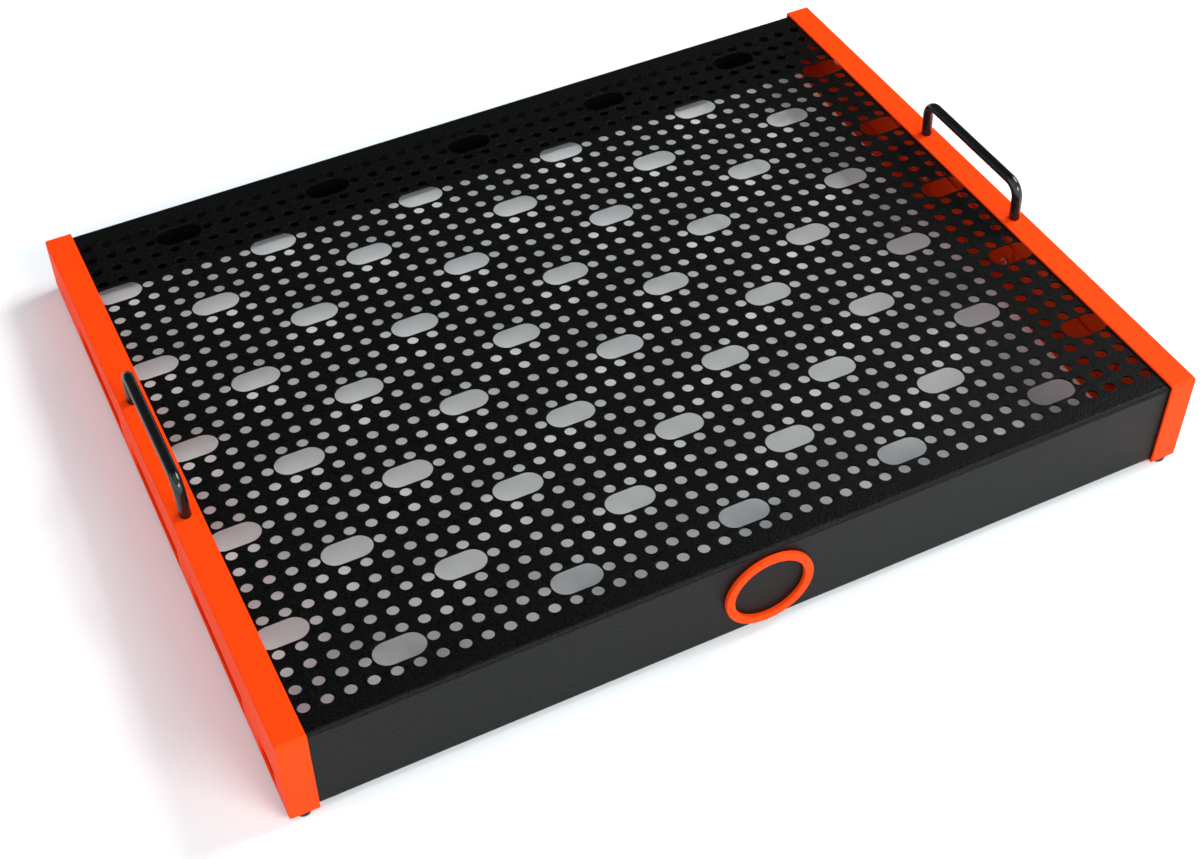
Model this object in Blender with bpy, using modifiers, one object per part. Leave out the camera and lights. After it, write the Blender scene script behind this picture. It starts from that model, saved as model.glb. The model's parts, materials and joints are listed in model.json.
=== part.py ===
"""Pedalboard: a folded, slotted steel deck carried between two folded end brackets.

World frame: +X to the right, +Y away from the player's side (the badge is on the -Y face),
+Z up.  The origin is on the ground, under the middle of the board.  Metres.
"""
import math

import bmesh
import bpy
from mathutils import Matrix, Vector

MM = 0.001

# ---- driving dimensions -----------------------------------------------------------------
BOARD_WIDTH = 533.4 * MM        # over the two end brackets
BOARD_DEPTH = 420.0 * MM        # front face to rear face of a bracket
FRONT_HEIGHT = 63.0 * MM        # bracket height at the badge side, without the feet
REAR_HEIGHT = 37.0 * MM         # bracket height at the low side, without the feet
FOOT_HEIGHT = 3.0 * MM          # rubber below the brackets
SHEET = 1.5 * MM                # steel gauge of deck and brackets
GAP = 0.3 * MM                  # air left between pieces that touch

FLANGE_WIDTH = 16.0 * MM        # of the lip over the deck's end and the bracket's other flanges
BRACKET_BEND = 1.3 * MM         # outside radius of the folds between the web and its flanges
LIP_CORNER = 2.0 * MM           # outside radius where the lip meets the front and rear flanges
TOE_CORNER = 1.6 * MM           # the same where the bottom flange meets them
DECK_BEND = 2.5 * MM            # outside radius of the deck's folds
DECK_RETURN = 18.0 * MM         # flanges turned in at the feet of the deck's walls

HOLE_PITCH = 12.0 * MM          # punching grid of the deck
SLOT_RADIUS = 8.0 * MM          # a slot is two circles one pitch apart and what lies between
SLOT_ARC_STEPS = 6
LONG_ROW_SLOTS = 6              # slots in the rows that reach the brackets
SHORT_ROW_SLOTS = 5             # slots in the rows between them
SLOT_ROWS = 11
SLOT_SPACING = 8 * HOLE_PITCH
ROW_SPACING = 3 * HOLE_PITCH

HANDLE_SPACING = 96.0 * MM      # between the two posts
HANDLE_HEIGHT = 24.0 * MM       # rod's centre line above the bracket's lip
HANDLE_BEND = 9.0 * MM
ROD_RADIUS = 3.2 * MM
HANDLE_BORE_DEPTH = 9.0 * MM
BEND_STEPS = 5

M4 = 2.0 * MM                   # thread radii
M3 = 1.5 * MM
CLEARANCE = 0.5 * MM            # radial, in a hole that a screw or stud passes

DECK_STUD_V = (-150.0 * MM, -90.0 * MM, 90.0 * MM, 150.0 * MM)
DECK_STUD_X = 257.0 * MM
DECK_STUD_LENGTH = 6.5 * MM

# module bays in each bracket's web: distance from the front face, width
SMALL_BAY = (17.5 * MM, 24.0 * MM)
BAYS = (SMALL_BAY, (65.0 * MM, 84.0 * MM), (170.0 * MM, 84.0 * MM), (275.0 * MM, 84.0 * MM))
BAY_SILL = 3.0 * MM             # above the bracket's underside
BAY_HEIGHT = 17.0 * MM
BAY_CORNER = 1.0 * MM
PLATE_OVERLAP = 7.0 * MM        # of a blanking plate beyond its bay's ends
PLATE_HEIGHT = 22.0 * MM
BAY_STUD_INSET = 3.6 * MM       # stud's distance from the bay's end
BAY_STUD_LENGTH = 5.5 * MM

FOOT_RADIUS = 4.75 * MM
FOOT_INSET_X = 8.3 * MM         # from the bracket's outer face
FOOT_INSET_Y = 5.0 * MM         # from its front or rear face
STEM_RADIUS = 1.7 * MM
BARB_RADIUS = 2.6 * MM

BADGE_RADIUS = 25.8 * MM
BADGE_BAND = 5.0 * MM           # width of the ring
BADGE_DEPTH = 2.6 * MM
BADGE_STUD_SPACING = 2 * BADGE_RADIUS - BADGE_BAND

# ---- worked-out places ------------------------------------------------------------------
HALF_WIDTH = BOARD_WIDTH / 2
HALF_DEPTH = BOARD_DEPTH / 2
TILT = math.atan((FRONT_HEIGHT - REAR_HEIGHT) / BOARD_DEPTH)
LIP_MID_Z = FOOT_HEIGHT + (FRONT_HEIGHT + REAR_HEIGHT) / 2
DECK_HALF_WIDTH = HALF_WIDTH - SHEET - GAP
APRON_Y = HALF_DEPTH - SHEET - GAP
DECK_DROP = SHEET + GAP         # deck's top face below the lip's top face
WALL_BOTTOM = FOOT_HEIGHT + 1.0 * MM
NOTCH_TOP = FOOT_HEIGHT + SHEET + 2.9 * MM      # deck's walls clear the bottom flanges and the feet
HANDLE_X = HALF_WIDTH - FLANGE_WIDTH / 2
BADGE_Z = FOOT_HEIGHT + 30.6 * MM

parts = None
cutters = None


# ---- scene, materials and collections -----------------------------------------------------
def clear_scene():
    for item in list(bpy.data.objects):
        bpy.data.objects.remove(item, do_unlink=True)


def make_collection(name):
    group = bpy.data.collections.new(name)
    bpy.context.scene.collection.children.link(group)
    return group


def make_material(name, colour, roughness, metallic):
    material = bpy.data.materials.new(name)
    material.use_nodes = True
    shader = material.node_tree.nodes["Principled BSDF"]
    shader.inputs["Base Color"].default_value = (*colour, 1.0)
    shader.inputs["Roughness"].default_value = roughness
    shader.inputs["Metallic"].default_value = metallic
    return material


def add_object(name, mesh, material, group=None):
    item = bpy.data.objects.new(name, mesh)
    (group or parts).objects.link(item)
    if material is not None:
        mesh.materials.append(material)
    return item


def add_cutter(name, mesh):
    item = add_object(name, mesh, None, cutters)
    item.hide_render = True
    item.display_type = "WIRE"
    return item


def add_boolean(item, cutter, operation="DIFFERENCE"):
    modifier = item.modifiers.new(cutter.name, "BOOLEAN")
    modifier.operation = operation
    modifier.object = cutter
    modifier.solver = "EXACT"


def mesh_from(shape, name):
    mesh = bpy.data.meshes.new(name)
    bmesh.ops.recalc_face_normals(shape, faces=shape.faces)
    shape.to_mesh(mesh)
    shape.free()
    return mesh


def smooth(mesh, degrees=30.0):
    mesh.shade_smooth()
    mesh.set_sharp_from_angle(angle=math.radians(degrees))


# ---- geometry helpers -----------------------------------------------------------------------
def lip_z(y, below=0.0):
    """Height of the bracket's sloping top at y, measured `below` under its face."""
    return LIP_MID_Z - y * math.tan(TILT) - below / math.cos(TILT)


def on_deck(u, v, above=0.0):
    """World matrix of a frame on the slope: u along X, v along the slope, above the lip's top face."""
    slope = Matrix.Rotation(-TILT, 4, "X")
    return Matrix.Translation((0, 0, LIP_MID_Z)) @ slope @ Matrix.Translation((u, v, above))


def fillet(before, corner, after, radius, steps):
    """Points of the arc that rounds a corner of a flat outline."""
    back = (before - corner).normalized()
    forward = (after - corner).normalized()
    half = back.angle(forward) / 2
    if radius <= 0:
        return [corner]
    reach = radius / math.tan(half)
    centre = corner + (back + forward).normalized() * radius / math.sin(half)
    start = corner + back * reach - centre
    turn = math.pi - 2 * half
    sign = 1 if start.cross(corner + forward * reach - centre) > 0 else -1
    points = []
    for step in range(steps + 1):
        angle = sign * turn * step / steps
        spun = Vector((start.x * math.cos(angle) - start.y * math.sin(angle),
                       start.x * math.sin(angle) + start.y * math.cos(angle)))
        points.append(centre + spun)
    return points


def rounded_outline(corners, radius, steps=BEND_STEPS):
    corners = [Vector(corner) for corner in corners]
    count = len(corners)
    outline = []
    for index, corner in enumerate(corners):
        outline += fillet(corners[index - 1], corner, corners[(index + 1) % count], radius, steps)
    return outline


def stadium(length, radius, steps):
    """Outline of a slot: two half circles whose centres lie `length` apart along its first axis."""
    outline = []
    for side in (1, -1):
        for step in range(steps + 1):
            angle = -side * math.pi / 2 + math.pi * step / steps
            outline.append(Vector((side * length / 2 + radius * math.cos(angle),
                                   radius * math.sin(angle))))
    return outline


def outline_mesh(name, outline, thickness):
    """Solid from a flat closed outline, centred on its plane, made by an extruded 2D curve."""
    curve = bpy.data.curves.new(name, "CURVE")
    curve.dimensions = "2D"
    curve.fill_mode = "BOTH"
    curve.extrude = thickness / 2
    spline = curve.splines.new("POLY")
    spline.points.add(len(outline) - 1)
    for point, place in zip(spline.points, outline):
        point.co = (place[0], place[1], 0, 1)
    spline.use_cyclic_u = True
    return curve_mesh(name, curve)


def curve_mesh(name, curve):
    """Mesh of a curve with its caps welded on; the curve is removed."""
    holder = bpy.data.objects.new(name + "_curve", curve)
    bpy.context.scene.collection.objects.link(holder)
    evaluated = holder.evaluated_get(bpy.context.evaluated_depsgraph_get())
    mesh = bpy.data.meshes.new_from_object(evaluated)
    mesh.name = name
    bpy.data.objects.remove(holder, do_unlink=True)
    bpy.data.curves.remove(curve)
    shape = bmesh.new()
    shape.from_mesh(mesh)
    bmesh.ops.remove_doubles(shape, verts=shape.verts, dist=0.00001)
    bmesh.ops.dissolve_limit(shape, angle_limit=0.001, verts=shape.verts, edges=shape.edges)
    bmesh.ops.recalc_face_normals(shape, faces=shape.faces)
    shape.to_mesh(mesh)
    shape.free()
    return mesh


SIDE_VIEW = Matrix(((0, 0, 1, 0), (1, 0, 0, 0), (0, 1, 0, 0), (0, 0, 0, 1)))


def side_mesh(name, outline, x_from, x_to):
    """Solid with an outline drawn in the Y-Z plane that spans x_from to x_to."""
    mesh = outline_mesh(name, outline, abs(x_to - x_from))
    mesh.transform(Matrix.Translation(((x_from + x_to) / 2, 0, 0)) @ SIDE_VIEW)
    return mesh


def cylinder_shape(shape, matrix, radius, length, segments=12):
    """Adds a closed cylinder along matrix's Z, from its origin up to `length`."""
    place = matrix @ Matrix.Translation((0, 0, length / 2))
    bmesh.ops.create_cone(shape, cap_ends=True, segments=segments, radius1=radius,
                          radius2=radius, depth=length, matrix=place)


def turned_mesh(name, profile, segments):
    """Solid of revolution about Z: profile is (radius, z) from the top axis point downwards."""
    mesh = bpy.data.meshes.new(name)
    shape = bmesh.new()
    chain = [shape.verts.new((radius, 0, z)) for radius, z in profile]
    for first, second in zip(chain, chain[1:]):
        shape.edges.new((first, second))
    shape.to_mesh(mesh)
    shape.free()
    holder = bpy.data.objects.new(name + "_profile", mesh)
    bpy.context.scene.collection.objects.link(holder)
    screw = holder.modifiers.new("turn", "SCREW")
    screw.steps = segments
    screw.render_steps = segments
    screw.use_merge_vertices = True
    screw.merge_threshold = 0.00001
    evaluated = holder.evaluated_get(bpy.context.evaluated_depsgraph_get())
    turned = bpy.data.meshes.new_from_object(evaluated)
    turned.name = name
    bpy.data.objects.remove(holder, do_unlink=True)
    bpy.data.meshes.remove(mesh)
    shape = bmesh.new()
    shape.from_mesh(turned)
    bmesh.ops.recalc_face_normals(shape, faces=shape.faces)
    shape.to_mesh(turned)
    shape.free()
    return turned


def hex_nut_mesh(name, across_flats, height, bore_radius):
    """Hexagon nut along +Z from its seat at z = 0, with a plain bore."""
    radius = across_flats / math.sqrt(3)
    shape = bmesh.new()
    bmesh.ops.create_cone(shape, cap_ends=True, segments=6, radius1=radius, radius2=radius,
                          depth=height, matrix=Matrix.Translation((0, 0, height / 2)))
    nut = add_object(name, mesh_from(shape, name), None)
    shape = bmesh.new()
    cylinder_shape(shape, Matrix.Translation((0, 0, -height)), bore_radius, 3 * height)
    bore = add_cutter(name + "_bore", mesh_from(shape, name + "_bore"))
    add_boolean(nut, bore)
    bpy.context.view_layer.update()
    evaluated = nut.evaluated_get(bpy.context.evaluated_depsgraph_get())
    mesh = bpy.data.meshes.new_from_object(evaluated)
    mesh.name = name
    bpy.data.objects.remove(nut, do_unlink=True)
    bpy.data.objects.remove(bore, do_unlink=True)
    return mesh


# ---- places shared by several pieces --------------------------------------------------------
def slot_centres():
    """(u, v) of every slot in the deck."""
    centres = []
    for row in range(SLOT_ROWS):
        count = SHORT_ROW_SLOTS if row % 2 == 0 else LONG_ROW_SLOTS
        v = (row - (SLOT_ROWS - 1) / 2) * ROW_SPACING
        for column in range(count):
            centres.append(((column - (count - 1) / 2) * SLOT_SPACING, v))
    return centres


def handle_posts(side):
    return [on_deck(side * HANDLE_X, end * HANDLE_SPACING / 2) for end in (-1, 1)]


def deck_studs(side):
    return [on_deck(side * DECK_STUD_X, v) for v in DECK_STUD_V]


def foot_places(side):
    x = side * (HALF_WIDTH - FOOT_INSET_X)
    return [(x, end * (HALF_DEPTH - FOOT_INSET_Y)) for end in (-1, 1)]


def bay_middle(bay):
    """Y of a bay's middle and Z of its middle."""
    start, width = bay
    return -HALF_DEPTH + start + width / 2, FOOT_HEIGHT + BAY_SILL + BAY_HEIGHT / 2


def bay_studs(side, bay):
    """Frames whose +Z points inwards from the web's inner face, at a bay's two studs."""
    middle_y, middle_z = bay_middle(bay)
    x = side * (HALF_WIDTH - SHEET)
    inwards = Matrix.Rotation(-side * math.pi / 2, 4, "Y")
    reach = bay[1] / 2 + BAY_STUD_INSET
    return [Matrix.Translation((x, middle_y + end * reach, middle_z)) @ inwards for end in (-1, 1)]


def badge_studs():
    """Frames whose +Z points into the apron (+Y), at the badge's two studs."""
    inwards = Matrix.Rotation(-math.pi / 2, 4, "X")
    return [Matrix.Translation((end * BADGE_STUD_SPACING / 2, -APRON_Y, BADGE_Z)) @ inwards
            for end in (-1, 1)]


# ---- deck -----------------------------------------------------------------------------------
def deck_panel(paint):
    """Top, front apron and rear wall folded from one sheet, with its slots and holes cut."""
    front_top = Vector((-APRON_Y, lip_z(-APRON_Y, DECK_DROP)))
    rear_top = Vector((APRON_Y, lip_z(APRON_Y, DECK_DROP)))
    front_foot = Vector((-APRON_Y, WALL_BOTTOM))
    rear_foot = Vector((APRON_Y, WALL_BOTTOM))
    front_return = front_foot + Vector((DECK_RETURN, 0))
    rear_return = rear_foot - Vector((DECK_RETURN, 0))
    corners = [front_return, front_foot, front_top, rear_top, rear_foot, rear_return]
    path = [front_return]
    for before, corner, after in zip(corners, corners[1:], corners[2:]):
        path += fillet(before, corner, after, DECK_BEND, BEND_STEPS)
    path += [rear_return]
    shape = bmesh.new()
    chain = [shape.verts.new((-DECK_HALF_WIDTH, y, z)) for y, z in path]
    edges = [shape.edges.new(pair) for pair in zip(chain, chain[1:])]
    swept = bmesh.ops.extrude_edge_only(shape, edges=edges)
    moved = [item for item in swept["geom"] if isinstance(item, bmesh.types.BMVert)]
    bmesh.ops.translate(shape, verts=moved, vec=(2 * DECK_HALF_WIDTH, 0, 0))
    top = max(shape.faces, key=lambda face: face.calc_area())
    if top.normal.z < 0:
        bmesh.ops.reverse_faces(shape, faces=shape.faces)
    mesh = bpy.data.meshes.new("deck_panel")
    shape.to_mesh(mesh)
    shape.free()
    smooth(mesh)
    deck = add_object("deck_panel", mesh, paint)
    fold = deck.modifiers.new("sheet", "SOLIDIFY")
    fold.thickness = SHEET
    fold.offset = -1
    fold.use_even_offset = True
    add_boolean(deck, notch_cutter())
    add_boolean(deck, slot_cutter())
    add_boolean(deck, deck_hole_cutter())


def notch_cutter():
    """Clears the deck's return flanges and the feet of its walls from the brackets' bottom flanges."""
    shape = bmesh.new()
    width = FLANGE_WIDTH + SHEET + 20 * MM
    for side in (-1, 1):
        x = side * (HALF_WIDTH - FLANGE_WIDTH - GAP + width / 2)
        place = Matrix.Translation((x, 0, NOTCH_TOP - 10 * MM)) @ Matrix.Diagonal((width, 0.5, 20 * MM, 1))
        bmesh.ops.create_cube(shape, size=1.0, matrix=place)
    return add_cutter("cut_notches", mesh_from(shape, "cut_notches"))


def slot_cutter():
    shape = bmesh.new()
    one = outline_mesh("slot", stadium(HOLE_PITCH, SLOT_RADIUS, SLOT_ARC_STEPS), 8 * SHEET)
    for u, v in slot_centres():
        copy = one.copy()
        copy.transform(on_deck(u, v, -DECK_DROP - SHEET / 2))
        shape.from_mesh(copy)
        bpy.data.meshes.remove(copy)
    bpy.data.meshes.remove(one)
    return add_cutter("cut_slots", mesh_from(shape, "cut_slots"))


def deck_hole_cutter():
    """Holes that the handle screws, the brackets' studs and the badge's studs pass."""
    shape = bmesh.new()
    below = Matrix.Translation((0, 0, -6 * SHEET))
    for side in (-1, 1):
        for place in handle_posts(side) + deck_studs(side):
            cylinder_shape(shape, place @ below, M4 + CLEARANCE, 8 * SHEET)
    for place in badge_studs():
        cylinder_shape(shape, place @ below, M3 + CLEARANCE, 12 * SHEET)
    return add_cutter("cut_deck_holes", mesh_from(shape, "cut_deck_holes"))


# ---- end brackets ---------------------------------------------------------------------------
def bracket_corners(inset):
    edge = HALF_DEPTH - inset
    floor = FOOT_HEIGHT + inset
    places = ((-edge, floor), (edge, floor), (edge, lip_z(edge, inset)), (-edge, lip_z(-edge, inset)))
    return [Vector(place) for place in places]


def bracket_outline():
    corners = bracket_corners(0.0)
    outline = []
    for index, radius in enumerate((TOE_CORNER, TOE_CORNER, LIP_CORNER, LIP_CORNER)):
        outline += fillet(corners[index - 1], corners[index], corners[(index + 1) % 4], radius, BEND_STEPS)
    return outline


def soften_rim(mesh, x, radius, segments):
    """Bevels the rim of a side_mesh where its flat end lies at x."""
    shape = bmesh.new()
    shape.from_mesh(mesh)
    rim = []
    for edge in shape.edges:
        at_end = all(abs(vert.co.x - x) < 0.00001 for vert in edge.verts)
        if at_end and edge.calc_face_angle(0.0) > math.radians(45):
            rim.append(edge)
    bmesh.ops.bevel(shape, geom=rim, offset=radius, segments=segments, profile=0.5, affect="EDGES")
    bmesh.ops.recalc_face_normals(shape, faces=shape.faces)
    shape.to_mesh(mesh)
    shape.free()


def bracket(name, side, paint):
    """A pan with its floor on the outside: web, sloping lip, front, rear and bottom flanges."""
    outer_x = side * HALF_WIDTH
    inner_x = side * (HALF_WIDTH - FLANGE_WIDTH)
    mesh = side_mesh(name, bracket_outline(), inner_x, outer_x)
    soften_rim(mesh, outer_x, BRACKET_BEND, 4)
    smooth(mesh)
    body = add_object(name, mesh, paint)

    inside_x = side * (HALF_WIDTH - SHEET)
    past_x = inner_x - side * 10 * MM
    hollow = side_mesh("cut_hollow", bracket_corners(SHEET), past_x, inside_x)
    add_boolean(body, add_cutter("cut_hollow_" + name, hollow))

    add_boolean(body, bay_cutter(name, side))
    add_boolean(body, bracket_studs(name, side), "UNION")
    add_boolean(body, bracket_hole_cutter(name, side))


def bay_cutter(name, side):
    shape = bmesh.new()
    for start, width in BAYS:
        low = FOOT_HEIGHT + BAY_SILL
        front = -HALF_DEPTH + start
        corners = ((front, low), (front + width, low),
                   (front + width, low + BAY_HEIGHT), (front, low + BAY_HEIGHT))
        outline = rounded_outline(corners, BAY_CORNER, 2)
        one = side_mesh("bay", outline, side * (HALF_WIDTH - 4 * SHEET), side * (HALF_WIDTH + 4 * SHEET))
        shape.from_mesh(one)
        bpy.data.meshes.remove(one)
    return add_cutter("cut_bays_" + name, mesh_from(shape, "cut_bays_" + name))


def bracket_studs(name, side):
    """Press-in studs, flush outside: down from the lip for the deck, inwards for the bays."""
    shape = bmesh.new()
    root = SHEET / 2
    down = Matrix.Translation((0, 0, -root)) @ Matrix.Rotation(math.pi, 4, "X")
    for place in deck_studs(side):
        cylinder_shape(shape, place @ down, M4, DECK_STUD_LENGTH + root)
    back = Matrix.Translation((0, 0, -root))
    for bay in BAYS:
        for place in bay_studs(side, bay):
            cylinder_shape(shape, place @ back, M3, BAY_STUD_LENGTH + root)
    return add_cutter("join_studs_" + name, mesh_from(shape, "join_studs_" + name))


def bracket_hole_cutter(name, side):
    """Holes for the handle screws in the lip and for the feet's stems in the bottom flange."""
    shape = bmesh.new()
    below = Matrix.Translation((0, 0, -2 * SHEET))
    for place in handle_posts(side):
        cylinder_shape(shape, place @ below, M4 + CLEARANCE, 4 * SHEET)
    for x, y in foot_places(side):
        place = Matrix.Translation((x, y, FOOT_HEIGHT - SHEET))
        cylinder_shape(shape, place, STEM_RADIUS + GAP, 4 * SHEET)
    return add_cutter("cut_holes_" + name, mesh_from(shape, "cut_holes_" + name))


# ---- handles and their fasteners ------------------------------------------------------------
def handle(name, side, paint):
    """Rod bent to a bridge, square to the bracket's lip, with a threaded hole up each post."""
    half = HANDLE_SPACING / 2
    corners = [Vector((-half, GAP)), Vector((-half, HANDLE_HEIGHT)),
               Vector((half, HANDLE_HEIGHT)), Vector((half, GAP))]
    path = [corners[0]]
    path += fillet(*corners[0:3], HANDLE_BEND, 7)
    path += fillet(*corners[1:4], HANDLE_BEND, 7)
    path += [corners[3]]
    curve = bpy.data.curves.new(name, "CURVE")
    curve.dimensions = "3D"
    curve.bevel_depth = ROD_RADIUS
    curve.bevel_resolution = 4
    curve.use_fill_caps = True
    spline = curve.splines.new("POLY")
    spline.points.add(len(path) - 1)
    for point, place in zip(spline.points, path):
        point.co = (0, place.x, place.y, 1)
    mesh = curve_mesh(name, curve)
    mesh.transform(on_deck(side * HANDLE_X, 0))
    smooth(mesh, 60)
    rod = add_object(name, mesh, paint)
    shape = bmesh.new()
    below = Matrix.Translation((0, 0, -SHEET))
    for place in handle_posts(side):
        cylinder_shape(shape, place @ below, M4 + GAP, HANDLE_BORE_DEPTH + SHEET)
    add_boolean(rod, add_cutter("cut_bores_" + name, mesh_from(shape, "cut_bores_" + name)))


def pan_screw_mesh(name, thread, head_radius, head_height, length):
    """Screw pointing up +Z from the seat of its head at z = 0, with a flat drive recess."""
    crown = 0.7 * head_radius
    recess = 0.35 * head_radius
    profile = ((0, length), (thread * 0.8, length), (thread, length - 0.4 * MM), (thread, 0),
               (head_radius, 0), (head_radius, -0.6 * head_height), (crown, -head_height),
               (recess, -head_height), (recess, -0.5 * head_height), (0, -0.5 * head_height))
    return turned_mesh(name, profile, 16)


def washer_mesh(name, radius, bore, thickness):
    profile = ((bore, thickness), (radius, thickness), (radius, 0), (bore, 0), (bore, thickness))
    return turned_mesh(name, profile, 16)


def handle_fasteners(steel):
    """A washer and a pan-head screw under each post, driven from below through deck and lip."""
    washer_thickness = 0.8 * MM
    seat = -(DECK_DROP + SHEET + GAP + washer_thickness)
    washer = washer_mesh("handle_washer", 4.5 * MM, M4 + GAP, washer_thickness)
    screw_seat = seat - GAP
    screw_length = -screw_seat + HANDLE_BORE_DEPTH - 1.5 * MM
    screw = pan_screw_mesh("handle_screw", M4, 3.8 * MM, 2.6 * MM, screw_length)
    for mesh in (washer, screw):
        mesh.materials.append(steel)
        smooth(mesh)
    for side, hand in ((-1, "left"), (1, "right")):
        for place, end in zip(handle_posts(side), ("front", "rear")):
            ring = add_object(f"handle_washer_{hand}_{end}", washer, None)
            ring.matrix_world = place @ Matrix.Translation((0, 0, seat))
            bolt = add_object(f"handle_screw_{hand}_{end}", screw, None)
            bolt.matrix_world = place @ Matrix.Translation((0, 0, screw_seat))


def deck_nuts(steel):
    """Nuts that pull the deck up against the lips, on the brackets' studs."""
    mesh = hex_nut_mesh("deck_nut", 7.0 * MM, 2.8 * MM, M4 + GAP)
    mesh.materials.append(steel)
    smooth(mesh)
    drop = Matrix.Translation((0, 0, -(DECK_DROP + SHEET + GAP))) @ Matrix.Rotation(math.pi, 4, "X")
    for side, hand in ((-1, "left"), (1, "right")):
        for number, place in enumerate(deck_studs(side), 1):
            nut = add_object(f"deck_nut_{hand}_{number}", mesh, None)
            nut.matrix_world = place @ drop


# ---- module bays ----------------------------------------------------------------------------
def bay_plates(paint, steel):
    """A blanking plate behind each bay, held by a nut on the web's stud at either end."""
    nut_mesh = hex_nut_mesh("bay_nut", 5.5 * MM, 2.2 * MM, M3 + GAP)
    nut_mesh.materials.append(steel)
    smooth(nut_mesh)
    for side, hand in ((-1, "left"), (1, "right")):
        for number, bay in enumerate(BAYS, 1):
            name = f"bay_plate_{hand}_{number}"
            near_x = side * (HALF_WIDTH - SHEET - GAP)
            far_x = near_x - side * SHEET
            middle_y, middle_z = bay_middle(bay)
            half = bay[1] / 2 + PLATE_OVERLAP
            low = FOOT_HEIGHT + SHEET + GAP
            corners = ((middle_y - half, low), (middle_y + half, low),
                       (middle_y + half, low + PLATE_HEIGHT), (middle_y - half, low + PLATE_HEIGHT))
            mesh = side_mesh(name, rounded_outline(corners, 1.5 * MM, 3), near_x, far_x)
            plate = add_object(name, mesh, paint)
            shape = bmesh.new()
            for end, place in zip(("front", "rear"), bay_studs(side, bay)):
                cylinder_shape(shape, place @ Matrix.Translation((0, 0, -SHEET)), M3 + GAP, 6 * SHEET)
                nut = add_object(f"bay_nut_{hand}_{number}_{end}", nut_mesh, None)
                nut.matrix_world = place @ Matrix.Translation((0, 0, SHEET + 2 * GAP))
            add_boolean(plate, add_cutter("cut_" + name, mesh_from(shape, "cut_" + name)))


# ---- feet -----------------------------------------------------------------------------------
def feet(rubber):
    """Push-in bumpers: a tapered pad below the flange, a stem through it and a barb above."""
    top = FOOT_HEIGHT - GAP
    over = FOOT_HEIGHT + SHEET + GAP
    profile = ((0, over + 2.2 * MM), (1.4 * MM, over + 2.2 * MM), (BARB_RADIUS, over + 0.5 * MM),
               (BARB_RADIUS, over), (STEM_RADIUS, over), (STEM_RADIUS, top), (FOOT_RADIUS, top),
               (FOOT_RADIUS, top - 0.8 * MM), (FOOT_RADIUS - 0.5 * MM, 0.3 * MM),
               (FOOT_RADIUS - 1.0 * MM, 0), (0, 0))
    mesh = turned_mesh("foot", profile, 20)
    mesh.materials.append(rubber)
    smooth(mesh)
    for side, hand in ((-1, "left"), (1, "right")):
        for (x, y), end in zip(foot_places(side), ("front", "rear")):
            pad = add_object(f"foot_{hand}_{end}", mesh, None)
            pad.location = (x, y, 0)


# ---- badge ----------------------------------------------------------------------------------
def badge(paint, steel):
    """A plain ring on the apron with two studs through it, each under a push nut."""
    rim = BADGE_RADIUS
    bore = BADGE_RADIUS - BADGE_BAND
    face = BADGE_DEPTH + GAP
    edge = 0.5 * MM
    profile = ((bore, -GAP), (rim, -GAP), (rim, edge - face), (rim - edge, -face),
               (bore + edge, -face), (bore, edge - face), (bore, -GAP))
    mesh = turned_mesh("badge", profile, 48)
    outwards = Matrix.Rotation(-math.pi / 2, 4, "X")
    mesh.transform(Matrix.Translation((0, -APRON_Y, BADGE_Z)) @ outwards)
    mesh.materials.append(paint)
    smooth(mesh)
    ring = add_object("badge", mesh, None)
    shape = bmesh.new()
    root = 1.0 * MM
    back = Matrix.Translation((0, 0, -root))
    for place in badge_studs():
        cylinder_shape(shape, place @ back, M3, root + SHEET + 4.0 * MM)
    add_boolean(ring, add_cutter("join_badge_studs", mesh_from(shape, "join_badge_studs")), "UNION")
    nut = washer_mesh("badge_push_nut", 4.0 * MM, M3 + GAP, 0.8 * MM)
    nut.materials.append(steel)
    smooth(nut)
    for place, hand in zip(badge_studs(), ("left", "right")):
        clip = add_object(f"badge_push_nut_{hand}", nut, None)
        clip.matrix_world = place @ Matrix.Translation((0, 0, SHEET + GAP))


def build():
    global parts, cutters
    clear_scene()
    parts = make_collection("pedalboard")
    cutters = make_collection("cutters")
    black = make_material("deck_black", (0.012, 0.012, 0.012), 0.55, 0.0)
    orange = make_material("bracket_orange", (1.0, 0.07, 0.005), 0.45, 0.0)
    gloss = make_material("handle_black", (0.004, 0.004, 0.004), 0.15, 0.0)
    steel = make_material("zinc_steel", (0.55, 0.55, 0.56), 0.35, 1.0)
    rubber = make_material("rubber", (0.02, 0.02, 0.02), 0.8, 0.0)
    deck_panel(black)
    for side, hand in ((-1, "left"), (1, "right")):
        bracket(f"{hand}_bracket", side, orange)
        handle(f"{hand}_handle", side, gloss)
    handle_fasteners(steel)
    deck_nuts(steel)
    bay_plates(orange, steel)
    feet(rubber)
    badge(orange, steel)
    bpy.context.view_layer.update()


build()
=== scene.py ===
"""Pedalboard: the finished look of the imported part, its floor, its light and its camera."""
import json
import math

import bmesh
import bpy
from mathutils import Matrix, Vector
from mathutils.geometry import delaunay_2d_cdt


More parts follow.
